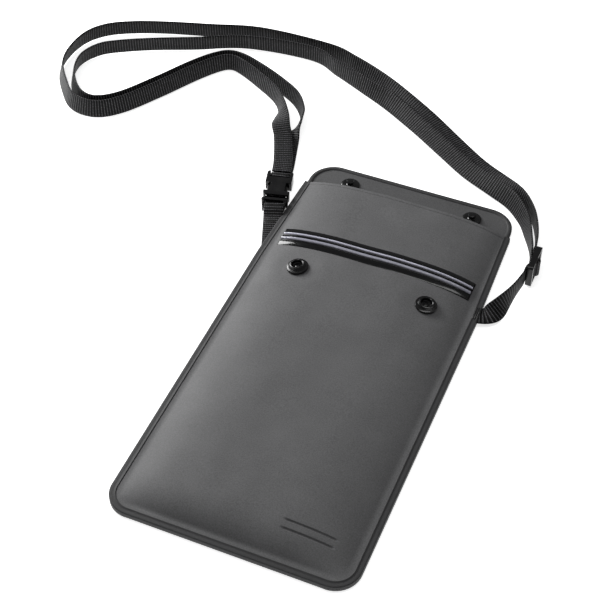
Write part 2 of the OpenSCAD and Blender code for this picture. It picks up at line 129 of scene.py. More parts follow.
INNER_ROUTE = [
    (-68.8, 221.7, 1.3, 0), (-70, 229, 1.2, 0), (-74.5, 245, 1.4, 0), (-76, 252, 2, -14),
    (-75, 260, 4.7, -68), (-76.5, 269, 5.1, -80), (-84.5, 279.5, 5.1, -78),
    (-97.5, 287.5, 5.1, -78), (-111.5, 294, 5.1, -78), (-124, 298.5, 5.1, -80),
    (-133, 299, 5.1, -84), (-140, 294, 5.1, -82), (-149, 281.5, 5.1, -75),
    (-161, 260.5, 5.1, -73), (-173, 242, 5.1, -74), (-184, 233.5, 5.1, -76),
    (-194, 234.5, 5.1, -76), (-203, 243, 5.1, -76), (-209, 254, 5.1, -77),
    (-210.5, 266, 5.1, -78), (-205, 277.5, 5.1, -80), (-194, 285.5, 5.1, -80),
    (-178, 294, 5.1, -80), (-158, 303, 5.1, -82), (-130, 316, 5.1, -84), (-92, 320.5, 5.1, -92),
    (-74, 313.5, 5.05, -96), (-55, 305.5, 4.85, -108), (-37, 298, 4.3, -130), (-17, 287, 3.3, -152),
    (2, 274.5, 3.1, -156), (20, 262.5, 3.3, -153), (36, 254, 4.2, -138), (48, 247, 4.8, -122),
    (57, 237.5, 5, -108), (62.5, 228, 5.4, -102), (66.5, 219, 6.2, -92), (68.7, 213, 6.5, -90),
    (69.6, 208.5, 6.5, -90), (70.4, 205.5, 6.5, -90)]
INNER_SPLIT = 24
RIGHT_ROUTE = [
    (55.7, 166.2, 1.9, 0), (60.3, 167.6, 1.9, 0), (63.6, 171.4, 3, 32), (66.2, 177.4, 4.8, 66),
    (68.4, 185, 6, 85), (70.2, 194, 6.5, 90)]

# Where the buckle and the adjuster lie, and the buckle's bars along its own length.
BUCKLE_AT = Vector((-65.2, 87.9, 0.3))
BUCKLE_TURN = math.radians(14.5)
BUCKLE_MID = 2.7
UPPER_BAR_Y, LOWER_BAR_Y = 12, -11.4
TAB_TURN = BUCKLE_TURN + math.radians(6.5)
TAB_T = 0.9
BAR_LOOP_R = 1.7
ADJUSTER_AT = Vector((72.5, 84, 6.5))
ADJUSTER_LOOP_R = 1.6

# The camera, in millimetres.
CAMERA_AT = Vector((159.32, -416.5, 507.91))
CAMERA_LOOK = Vector((-25.9, 24.8, 0))
CAMERA_LENS = 86.94


# ---- Small helpers -------------------------------------------------------------------------

def linear(hex_colour, alpha=1.0):
    """sRGB hex to linear RGBA."""
    parts = [int(hex_colour[i:i + 2], 16) / 255 for i in (1, 3, 5)]
    return [c / 12.92 if c <= 0.04045 else ((c + 0.055) / 1.055) ** 2.4 for c in parts] + [alpha]


def node(tree, kind, links=(), **settings):
    """Adds a node, sets its properties and sockets, and links what comes in."""
    made = tree.nodes.new(kind)
    for key, value in settings.items():
        if key.startswith("in_"):
            made.inputs[int(key[3:])].default_value = value
        else:
            setattr(made, key, value)
    for socket, source in links:
        tree.links.new(source, made.inputs[socket])
    return made


def finish_material(material, tree, shader):
    node(tree, "ShaderNodeOutputMaterial", [(0, shader.outputs[0])])
    return material


def blank(name):
    material = bpy.data.materials.new(name)
    material.use_nodes = True
    material.node_tree.nodes.clear()
    return material, material.node_tree


def smooth_step(t):
    t = max(0.0, min(1.0, t))
    return t * t * (3 - 2 * t)


def draw_in(y):
    """How far the side is drawn in at y, in millimetres."""
    return MOUTH_DRAW * max(0, min(1, (y - DRAW_START) / (MOUTH_Y - DRAW_START)))


def half_width(y, inset=0.0):
    """Half the pouch's width at y, inset from its edge, with round bottom corners."""
    radius = max(CORNER_R - inset, 0.1)
    rise = y - (BOTTOM_Y + inset)
    cut = 0 if rise >= radius else radius - math.sqrt(max(0, radius ** 2 - (radius - rise) ** 2))
    return HALF_W - inset - cut - draw_in(y)


def tongue_width(y, inset=0.0):
    """Half the tongue's width at y, with round top corners."""
    radius = TONGUE_R - inset
    fall = BACK_TOP_Y - inset - y
    cut = 0 if fall >= radius else radius - math.sqrt(max(0, radius ** 2 - (radius - fall) ** 2))
    return TONGUE_HALF - inset - cut


def mark(x, y):
    """Depth, from 0 to 1, of the plain pressed mark: two short grooves near the bottom corner."""
    far = min(math.hypot(max(abs(x - MARK_X) - MARK_HALF, 0), y - row) for row in MARK_ROWS)
    return 1 - smooth_step((far - 0.15) / 0.6)


def front_z(x, y, mark_depth=0.0, dimple_depth=0.0, hem_height=0.0):
    """Height of the front's outer face: a crown across, a rise from the bottom, soft dents."""
    across = 1 - min(1, abs(x) / CROWN_HALF) ** CROWN_POWER
    t = max(0, min(1, (y - (BOTTOM_Y + RIM_W + VALLEY)) / BOTTOM_RISE))
    along = 1 - (1 - t) ** CROWN_POWER
    dent = noise.noise(Vector((x * 0.03, y * 0.022, 3.7)))
    dent += 0.5 * noise.noise(Vector((x * 0.07, y * 0.05, 9.1)))
    puff = CREST - EDGE_Z
    near = math.hypot(abs(x) - SNAP_X, y - SOCKET_Y)
    dimple = dimple_depth * (1 - smooth_step((near - 5.6) / 9))
    mouth = 0.35 * smooth_step((y - MOUTH_Y + 9) / 9)
    hem = hem_height * smooth_step((y - MOUTH_Y + HEM_W) / 0.4)
    crown = across * along * (puff - 0.25 + 0.4 * dent * across - mouth)
    return EDGE_Z + crown + hem - dimple - mark_depth * mark(x, y)


def even(low, high, count):
    return [low + (high - low) * i / count for i in range(count + 1)]


def grid(columns, rows, place):
    """A sheet of quads: place(u, y) puts each vertex, with u from -1 to 1 and y from rows."""
    bm = bmesh.new()
    bm.loops.layers.uv.new("UVMap")
    bmesh.ops.create_grid(bm, x_segments=columns, y_segments=len(rows) - 1, size=1, calc_uvs=True)
    last = len(rows) - 1
    for v in bm.verts:
        v.co = Vector(place(v.co.x, rows[round((v.co.y + 1) / 2 * last)])) * MM
    return bm


def to_object(bm, name, material, smooth=40):
    mesh = bpy.data.meshes.new(name)
    bm.to_mesh(mesh)
    bm.free()
    mesh.shade_smooth()
    mesh.set_sharp_from_angle(angle=math.radians(smooth))
    obj = bpy.data.objects.new(name, mesh)
    bpy.context.scene.collection.objects.link(obj)
    mesh.materials.append(material)
    return obj


def cloth(bm, name, material, thickness):
    """Gives a sheet its thickness, below its face, with square cut edges."""
    bmesh.ops.solidify(bm, geom=bm.faces[:], thickness=thickness * MM)
    bmesh.ops.recalc_face_normals(bm, faces=bm.faces)
    return to_object(bm, name, material, 50)


def spun(profile, steps=64):
    """A turned shape: profile is (radius, height) from the axis round to the axis, in mm."""
    bm = bmesh.new()
    verts = [bm.verts.new((r * MM, 0, z * MM)) for r, z in profile]
    edges = [bm.edges.new(pair) for pair in zip(verts, verts[1:])]
    bmesh.ops.spin(bm, geom=verts + edges, axis=(0, 0, 1), cent=(0, 0, 0), steps=steps,
                   angle=2 * math.pi, use_merge=True)
    bmesh.ops.remove_doubles(bm, verts=bm.verts, dist=1e-6)
    bmesh.ops.recalc_face_normals(bm, faces=bm.faces)
    return bm


def catmull(points, spacing):
    """Evenly spaced points on a smooth curve through points of any size."""
    dense = []
    pieces = 12
    count = len(points)
    for i in range(count - 1):
        p0 = points[max(i - 1, 0)]
        p1, p2 = points[i], points[i + 1]
        p3 = points[min(i + 2, count - 1)]
        for k in range(pieces):
            t = k / pieces
            dense.append([0.5 * (2 * b + (c - a) * t + (2 * a - 5 * b + 4 * c - d) * t * t
                                 + (3 * b - a - 3 * c + d) * t ** 3)
                          for a, b, c, d in zip(p0, p1, p2, p3)])
    dense.append(list(points[-1]))
    lengths = [0.0]
    for a, b in zip(dense, dense[1:]):
        lengths.append(lengths[-1] + math.dist(a[:3], b[:3]))
    n = max(2, round(lengths[-1] / spacing))
    out, j = [], 0
    for i in range(n + 1):
        s = lengths[-1] * i / n
        while j < len(lengths) - 2 and lengths[j + 1] < s:
            j += 1
        f = (s - lengths[j]) / max(lengths[j + 1] - lengths[j], 1e-9)
        out.append([a + (b - a) * f for a, b in zip(dense[j], dense[j + 1])])
    return out


def web_profile(width, thickness):
    """Round-edged section of the webbing, as (across, through), closed."""
    half, t = width / 2, thickness / 2
    side = [(half - t + t * math.cos(math.radians(a)), t * math.sin(math.radians(a)))
            for a in (-90, -45, 0, 45, 90)]
    middle = [(half * k, t) for k in (0.5, 0, -0.5)]
    loop = side + middle
    return loop + [(-a, -b) for a, b in loop] + [loop[0]]


def web_strip(name, points, material, thickness=WEB_T):
    """Webbing swept along points of (x, y, z, tilt); its UVs are metres along and across."""
    profile = web_profile(WEB_W, thickness)
    centres = [Vector(p[:3]) for p in points]
    frames = []
    for i, p in enumerate(points):
        d = (centres[min(i + 1, len(points) - 1)] - centres[max(i - 1, 0)]).normalized()
        side = Vector((0, 0, 1)).cross(d).normalized()
        lift = d.cross(side)
        a = math.radians(p[3])
        frames.append((math.cos(a) * side + math.sin(a) * lift,
                       math.cos(a) * lift - math.sin(a) * side))
    last, wide = len(points) - 1, len(profile) - 1
    bm = bmesh.new()
    uv = bm.loops.layers.uv.new("UVMap")
    bmesh.ops.create_grid(bm, x_segments=last, y_segments=wide, size=1, calc_uvs=True)
    along = [0.0]
    for a, b in zip(centres, centres[1:]):
        along.append(along[-1] + (b - a).length)
    for f in bm.faces:
        for loop in f.loops:
            i = round(loop[uv].uv.x * last)
            k = round(loop[uv].uv.y * wide)
            loop[uv].uv = (along[i] * MM, profile[k][0] * MM)
    for v in bm.verts:
        i = round((v.co.x + 1) / 2 * last)
        k = round((v.co.y + 1) / 2 * wide)
        across, through = frames[i]
        v.co = (centres[i] + across * profile[k][0] + through * profile[k][1]) * MM
    bmesh.ops.remove_doubles(bm, verts=bm.verts, dist=1e-7)
    bmesh.ops.holes_fill(bm, edges=[e for e in bm.edges if e.is_boundary], sides=0)
    bmesh.ops.recalc_face_normals(bm, faces=bm.faces)
    return to_object(bm, name, material, 60), [tuple(c * MM) for c in centres]


def moulded_copy(name, source, material, radius=0.3, segments=3):
    """A CAD node's shape with its edges rounded, as moulding leaves them."""
    bm = bmesh.new()
    bm.from_mesh(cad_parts[source].data)
    bmesh.ops.remove_doubles(bm, verts=bm.verts, dist=2e-6)
    bmesh.ops.dissolve_limit(bm, angle_limit=math.radians(2), verts=bm.verts, edges=bm.edges)
    sharp = [e for e in bm.edges if len(e.link_faces) == 2 and e.calc_face_angle(0) > 0.6]
    bmesh.ops.bevel(bm, geom=sharp, offset=radius * MM, offset_type="OFFSET", segments=segments,
                    profile=0.5, affect="EDGES", material=-1, clamp_overlap=True)
    bmesh.ops.triangulate(bm, faces=[f for f in bm.faces if len(f.verts) > 4])
    obj = to_object(bm, name, material, 35)
    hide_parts(source)
    return obj


def placed(bm, matrix):
    bmesh.ops.transform(bm, matrix=matrix, verts=bm.verts)


# ---- Materials -----------------------------------------------------------------------------

def coated_cloth(name, colour, pitch, depth=0.06):
    """Coated polyester over thin foam: a tight plain weave under a matt skin, so it takes light
    as an even grey with a faint grain, and only a weak soft sheen at low angles."""
    material, tree = blank(name)
    where = node(tree, "ShaderNodeTexCoord").outputs["Object"]
    grain = node(tree, "ShaderNodeTexNoise", [(0, where)], in_2=1 / (pitch * MM), in_3=3.0)
    cloud = node(tree, "ShaderNodeTexNoise", [(0, where)], in_2=55.0, in_3=3.0)
    # Threads, drawn at the pitch that still shows.
    split = node(tree, "ShaderNodeSeparateXYZ", [(0, where)])
    waves = []
    for axis in (0, 1):
        turns = node(tree, "ShaderNodeMath", [(0, split.outputs[axis])], operation="MULTIPLY",
                     in_1=2 * math.pi / (pitch * MM))
        waves.append(node(tree, "ShaderNodeMath", [(0, turns.outputs[0])], operation="SINE"))
    weave = node(tree, "ShaderNodeMath", [(0, waves[0].outputs[0]), (1, waves[1].outputs[0])],
                 operation="MULTIPLY")
    height = node(tree, "ShaderNodeMath", [(0, weave.outputs[0]), (2, grain.outputs[0])],
                  operation="MULTIPLY_ADD", in_1=0.35)
    tint = node(tree, "ShaderNodeMath", [(0, cloud.outputs[0])], operation="MULTIPLY_ADD",
                in_1=0.5, in_2=-0.25)
    speck = node(tree, "ShaderNodeMath", [(0, grain.outputs[0]), (2, tint.outputs[0])],
                 operation="MULTIPLY_ADD", in_1=1.1)
    level = node(tree, "ShaderNodeMath", [(0, speck.outputs[0])], operation="ADD", in_1=-0.05)
    shade = node(tree, "ShaderNodeMix", [(0, level.outputs[0])], data_type="RGBA")
    shade.inputs[6].default_value = [c * 0.55 for c in colour[:3]] + [1]
    shade.inputs[7].default_value = [c * 1.45 for c in colour[:3]] + [1]
    bump = node(tree, "ShaderNodeBump", [("Height", height.outputs[0])])
    bump.inputs["Strength"].default_value = 0.5
    bump.inputs["Distance"].default_value = depth * MM
    shader = node(tree, "ShaderNodeBsdfPrincipled", [("Base Color", shade.outputs[2]),
                                                     ("Normal", bump.outputs[0])])
    shader.inputs["Roughness"].default_value = 0.6
    shader.inputs["Specular IOR Level"].default_value = 0.3
    shader.inputs["Sheen Weight"].default_value = 0.05
    shader.inputs["Sheen Roughness"].default_value = 0.5
    return finish_material(material, tree, shader)


def ribbed_webbing(name, colour, light, rib):
    """Woven polypropylene webbing: cross ribs with dark gaps, and crests painted in the lighter
    rib colour as a painted highlight, so that it looks finely lined along its length."""
    material, tree = blank(name)
    uv = node(tree, "ShaderNodeUVMap", uv_map="UVMap").outputs[0]
    split = node(tree, "ShaderNodeSeparateXYZ", [(0, uv)])
    wobble = node(tree, "ShaderNodeTexNoise", [(0, uv)], in_2=900.0, in_3=2.0)
    shift = node(tree, "ShaderNodeMath", [(0, wobble.outputs[0])], operation="MULTIPLY",
                 in_1=0.9)
    turns = node(tree, "ShaderNodeMath", [(0, split.outputs[0]), (2, shift.outputs[0])],
                 operation="MULTIPLY_ADD", in_1=2 * math.pi / (rib * MM))
    ribs = node(tree, "ShaderNodeMath", [(0, turns.outputs[0])], operation="SINE")
    cross = node(tree, "ShaderNodeMath", [(0, split.outputs[1])], operation="MULTIPLY",
                 in_1=2 * math.pi / (0.9 * MM))
    yarn = node(tree, "ShaderNodeMath", [(0, cross.outputs[0])], operation="SINE")
    crest_highlight = node(tree, "ShaderNodeMapRange", [(0, ribs.outputs[0])], in_1=0.4, in_2=1.0)
    speck = node(tree, "ShaderNodeMapRange", [(0, yarn.outputs[0])], in_1=-1.0, in_2=0.6,
                 in_3=0.2, in_4=1.0)
    both = node(tree, "ShaderNodeMath", [(0, crest_highlight.outputs[0]), (1, speck.outputs[0])],
                operation="MULTIPLY")
    fleck = node(tree, "ShaderNodeMapRange", [(0, wobble.outputs[0])], in_1=0.3, in_2=0.7,
                 in_3=0.45, in_4=1.0)
    painted_highlight_mask = node(tree, "ShaderNodeMath", [(0, both.outputs[0]), (1, fleck.outputs[0])],
                 operation="MULTIPLY")
    # Painted highlight: the rib crests are painted in the lighter rib colour, where light would catch
    # them.
    shade = node(tree, "ShaderNodeMix", [(0, painted_highlight_mask.outputs[0])], data_type="RGBA")
    shade.inputs[6].default_value = colour
    shade.inputs[7].default_value = light
    height = node(tree, "ShaderNodeMath", [(0, yarn.outputs[0]), (2, ribs.outputs[0])],
                  operation="MULTIPLY_ADD", in_1=0.3)
    bump = node(tree, "ShaderNodeBump", [("Height", height.outputs[0])])
    bump.inputs["Strength"].default_value = 0.8
    bump.inputs["Distance"].default_value = 0.12 * MM
    shader = node(tree, "ShaderNodeBsdfPrincipled", [("Base Color", shade.outputs[2]),
                                                     ("Normal", bump.outputs[0])])
    shader.inputs["Roughness"].default_value = 0.5
    shader.inputs["Specular IOR Level"].default_value = 0.12
    return finish_material(material, tree, shader)


def moulded_plastic(name, colour, rough):
    """Black injection-moulded acetal: near black, glossy, with a faint orange-peel skin."""
    material, tree = blank(name)
    where = node(tree, "ShaderNodeTexCoord").outputs["Object"]
    peel = node(tree, "ShaderNodeTexNoise", [(0, where)], in_2=220.0, in_3=3.0)
    level = node(tree, "ShaderNodeMapRange", [(0, peel.outputs[0])], in_1=0.3, in_2=0.7,
                 in_3=rough * 0.75, in_4=rough * 1.35)
    shade = node(tree, "ShaderNodeMix", [(0, peel.outputs[0])], data_type="RGBA")
    shade.inputs[6].default_value = [c * 0.85 for c in colour[:3]] + [1]
    shade.inputs[7].default_value = [c * 1.2 for c in colour[:3]] + [1]
    bump = node(tree, "ShaderNodeBump", [("Height", peel.outputs[0])])
    bump.inputs["Strength"].default_value = 0.08
    bump.inputs["Distance"].default_value = 0.1 * MM
    shader = node(tree, "ShaderNodeBsdfPrincipled", [("Base Color", shade.outputs[2]),
                                                     ("Roughness", level.outputs[0]),
                                                     ("Normal", bump.outputs[0])])
    shader.inputs["Specular IOR Level"].default_value = 0.4
    return finish_material(material, tree, shader)


def seal_plastic(name, colour, dull, sheen):
    """Extruded polyethylene strip: a wet gloss drawn out in fine lines along its length."""
    material, tree = blank(name)
    where = node(tree, "ShaderNodeTexCoord").outputs["Object"]
    drawn = node(tree, "ShaderNodeMapping", [(0, where)])
    drawn.inputs["Scale"].default_value = (0.04, 1.0, 1.0)
    lines = node(tree, "ShaderNodeTexNoise", [(0, drawn.outputs[0])], in_2=2600.0, in_3=2.0)
    level = node(tree, "ShaderNodeMapRange", [(0, lines.outputs[0])], in_1=0.3, in_2=0.7,
                 in_3=dull * 0.7, in_4=dull * 1.4)
    shade = node(tree, "ShaderNodeMix", [(0, lines.outputs[0])], data_type="RGBA")
    shade.inputs[6].default_value = [c * 0.7 for c in colour[:3]] + [1]
    shade.inputs[7].default_value = [c * 1.4 for c in colour[:3]] + [1]
    bump = node(tree, "ShaderNodeBump", [("Height", lines.outputs[0])])
    bump.inputs["Strength"].default_value = 0.1
    bump.inputs["Distance"].default_value = 0.04 * MM
    shader = node(tree, "ShaderNodeBsdfPrincipled", [("Base Color", shade.outputs[2]),
                                                     ("Roughness", level.outputs[0]),
                                                     ("Normal", bump.outputs[0])])
    shader.inputs["Specular IOR Level"].default_value = sheen
    return finish_material(material, tree, shader)


def thread(name, colour):
    """Bonded polyester thread: dark, with a slight satin twist."""
    material, tree = blank(name)
    where = node(tree, "ShaderNodeTexCoord").outputs["Object"]
    twist = node(tree, "ShaderNodeTexNoise", [(0, where)], in_2=2500.0, in_3=2.0)
    shade = node(tree, "ShaderNodeMix", [(0, twist.outputs[0])], data_type="RGBA")
    shade.inputs[6].default_value = [c * 0.6 for c in colour[:3]] + [1]
    shade.inputs[7].default_value = [c * 1.6 for c in colour[:3]] + [1]
    bump = node(tree, "ShaderNodeBump", [("Height", twist.outputs[0])])
    bump.inputs["Distance"].default_value = 0.1 * MM
    shader = node(tree, "ShaderNodeBsdfPrincipled", [("Base Color", shade.outputs[2]),
                                                     ("Normal", bump.outputs[0])])
    shader.inputs["Roughness"].default_value = 0.45
    return finish_material(material, tree, shader)


def material_for(key):
    """Each finish is made once and shared."""
    s = bpy.context.scene.neck_pouch
    name = {"shell": "coated_polyester_grey", "inner": "coated_polyester_inside_painted_shade",
            "rim": "coated_polyester_edge", "lining": "nylon_lining",
            "web": "polypropylene_webbing", "plastic": "moulded_acetal",
            "seal": "extruded_polyethylene_black", "bead": "extruded_polyethylene_clear",
            "highlight_bead": "extruded_polyethylene_painted_highlight", "thread": "bonded_thread"}[key]
    found = bpy.data.materials.get(name)
    if found:
        return found
    if key == "shell":
        return coated_cloth(name, list(s.cloth_colour) + [1], s.thread_pitch)
    # The inside cloth is the shell cloth painted 0.7 times darker: painted shade for the tongue seen
    # behind the mouth.
    if key == "inner":
        return coated_cloth(name, [c * 0.7 for c in s.cloth_colour] + [1], s.thread_pitch)
    if key == "rim":
        return coated_cloth(name, list(s.rim_colour) + [1], s.thread_pitch, depth=0.09)
    if key == "lining":
        return coated_cloth(name, list(s.lining_colour) + [1], s.thread_pitch)
    if key == "web":
        return ribbed_webbing(name, list(s.webbing_colour) + [1], list(s.rib_highlight_colour) + [1],
                              s.rib_pitch)
    if key == "plastic":
        return moulded_plastic(name, list(s.plastic_colour) + [1], s.plastic_roughness)
    if key == "seal":
        return seal_plastic(name, list(s.plastic_colour) + [1], 0.13, 0.35)
    # The upper track's beads are painted near white, 1.8 times the bead colour: a painted highlight
    # along the top bead.
    if key == "highlight_bead":
        return seal_plastic(name, [min(1, c * 1.8) for c in s.bead_colour] + [1], 0.14, 0.8)
    if key == "bead":
        return seal_plastic(name, list(s.bead_colour) + [1], 0.14, 0.8)
    return thread(name, list(s.webbing_colour) + [1])


class PouchSettings(bpy.types.PropertyGroup):
    """Colours and fine sizes of the pouch's cloth, webbing and plastic."""
    cloth_colour: bpy.props.FloatVectorProperty(
        name="Cloth", description="Colour of the padded cloth", subtype="COLOR",
        default=linear("#525253")[:3])
    rim_colour: bpy.props.FloatVectorProperty(
        name="Edge", description="Colour of the pressed edge", subtype="COLOR",
        default=linear("#2c2c2d")[:3])
    lining_colour: bpy.props.FloatVectorProperty(
        name="Lining", description="Colour of the pocket lining", subtype="COLOR",
        default=linear("#2a2a2c")[:3])
    webbing_colour: bpy.props.FloatVectorProperty(
        name="Webbing", description="Colour of the webbing between its ribs", subtype="COLOR",
        default=linear("#030303")[:3])
    # The ribs' crest colour is a painted highlight, not a lighter yarn.
    rib_highlight_colour: bpy.props.FloatVectorProperty(
        name="Ribs", description="Colour on the crests of the webbing's ribs", subtype="COLOR",
        default=linear("#68686b")[:3])
    plastic_colour: bpy.props.FloatVectorProperty(
        name="Plastic", description="Colour of the snaps, buckle and seal", subtype="COLOR",
        default=linear("#060607")[:3])
    bead_colour: bpy.props.FloatVectorProperty(
        name="Seal beads", description="Colour of the beads that press into each other",
        subtype="COLOR", default=linear("#84848f")[:3])
    plastic_roughness: bpy.props.FloatProperty(
        name="Plastic roughness", description="How dull the moulded plastic is", default=0.22,
        min=0.02, max=1.0, subtype="FACTOR")
    mark_depth: bpy.props.FloatProperty(
        name="Mark depth", description="Depth of the two grooves pressed into the front",
        default=0.6 * MM, min=0.0, max=1.0 * MM, subtype="DISTANCE", unit="LENGTH")
    dimple_depth: bpy.props.FloatProperty(
        name="Dimple depth", description="How far each snap socket pulls the cloth in",
        default=0.45 * MM, min=0.0, max=1.0 * MM, subtype="DISTANCE", unit="LENGTH")
    hem_height: bpy.props.FloatProperty(
        name="Hem height", description="How far the pressed hem stands up along the mouth",
        default=0.3 * MM, min=0.0, max=0.6 * MM, subtype="DISTANCE", unit="LENGTH")
    thread_pitch: bpy.props.FloatProperty(
        name="Thread pitch", description="Spacing of the cloth's threads in millimetres",
        default=0.55, min=0.2, max=2.0)
    rib_pitch: bpy.props.FloatProperty(
        name="Rib pitch", description="Spacing of the webbing's ribs in millimetres",
        default=1.5, min=0.5, max=3.0)


# ---- Pieces --------------------------------------------------------------------------------

class NECKPOUCH_OT_back(bpy.types.Operator):
    """Makes the padded back and its tongue as one sheet, with close rows across the fold"""
    bl_idname = "neckpouch.back"
    bl_label = "Padded back"

    def execute(self, context):
        fold = even(FOLD_Y - FOLD_HALF, FOLD_Y + FOLD_HALF, 12)
        rows = [BOTTOM_Y + CORNER_R * (1 - math.cos(math.radians(a))) for a in range(2, 90, 8)]
        rows += even(BOTTOM_Y + CORNER_R, FOLD_Y - FOLD_HALF, 60)[:-1] + fold
        rows += even(FOLD_Y + FOLD_HALF, MOUTH_Y, 12)[1:] + [MOUTH_Y + 0.4]
        rows += [y for y in even(MOUTH_Y + 1.2, BACK_TOP_Y - TONGUE_R, 3) if y > MOUTH_Y + 0.5]
        rows += [BACK_TOP_Y - TONGUE_R * (1 - math.sin(math.radians(a))) for a in range(10, 90, 8)]
        rows = sorted(set(round(y, 4) for y in rows))

        def place(u, y):
            half = half_width(y) if y <= MOUTH_Y + 0.01 else tongue_width(y)
            drop = 0 if y < MOUTH_Y else TONGUE_DROP
            x = u * half
            edge = 0.12 * smooth_step(1 - (half - abs(x)) / 2.5)
            return x, y, BACK_T - 0.05 - edge - drop

        bm = grid(60, rows, place)
        # The back's top face takes the darker inside cloth, painted shade where the tongue shows
        # behind the mouth.
        obj = cloth(bm, "padded_back", material_for("inner"), BACK_T - 0.2)
        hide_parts("back_panel", "back_flap")
        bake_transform(obj)
        return {"FINISHED"}


class NECKPOUCH_OT_front(bpy.types.Operator):
    """Makes the padded front in its three stretches: below the seal, above it, and the top"""
    bl_idname = "neckpouch.front"
    bl_label = "Padded front"

    def panel(self, name, rows, material, node_name):
        s = bpy.context.scene.neck_pouch
        depths = [d / MM for d in (s.mark_depth, s.dimple_depth, s.hem_height)]

        def place(u, y):
            x = u * half_width(y, RIM_W)
            return x, y, front_z(x, y, *depths)

        bm = grid(96, rows, place)
        obj = cloth(bm, name, material, PANEL_T)
        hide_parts(node_name)
        return obj

    def execute(self, context):
        inner_r = CORNER_R - RIM_W
        low = BOTTOM_Y + RIM_W
        rows = [low + inner_r * (1 - math.cos(math.radians(a))) for a in range(4, 90, 9)]
        top_row = MARK_ROWS[1] + 1
        rows += even(low + inner_r, MARK_ROWS[0] - 1, 4)[:-1] + even(MARK_ROWS[0] - 1, top_row, 40)
        rows += even(top_row, SEAL_BOTTOM, 100)[1:]
        lower = self.panel("padded_front", rows, material_for("shell"), "front_lower_panel")
        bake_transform(lower)
        upper = self.panel("padded_front_band", even(SEAL_TOP, FOLD_Y, 8), material_for("shell"),
                           "front_upper_panel")
        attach(upper, "pouch")
        hem = even(MOUTH_Y - HEM_W, MOUTH_Y, 12)
        top = self.panel("padded_front_top", even(FOLD_Y, hem[0] - 0.3, 22) + hem,
                         material_for("shell"), "front_flap_panel")
        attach(top, "flap")
        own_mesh(top)
        # Cloth that carries the front past the ends of the seal.
        near = SEAL_HALF + 0.3
        for side, name in ((-1, "left"), (1, "right")):
            def place(u, y, side=side):
                x = side * (near + (half_width(y, RIM_W) - near) * (1 + side * u) / 2)
                return x, y, front_z(x, y)
            bm = grid(8, even(SEAL_BOTTOM, SEAL_TOP, 10), place)
            end = cloth(bm, name + "_seal_end_cloth", material_for("shell"), PANEL_T)
            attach(end, "pouch")
        return {"FINISHED"}


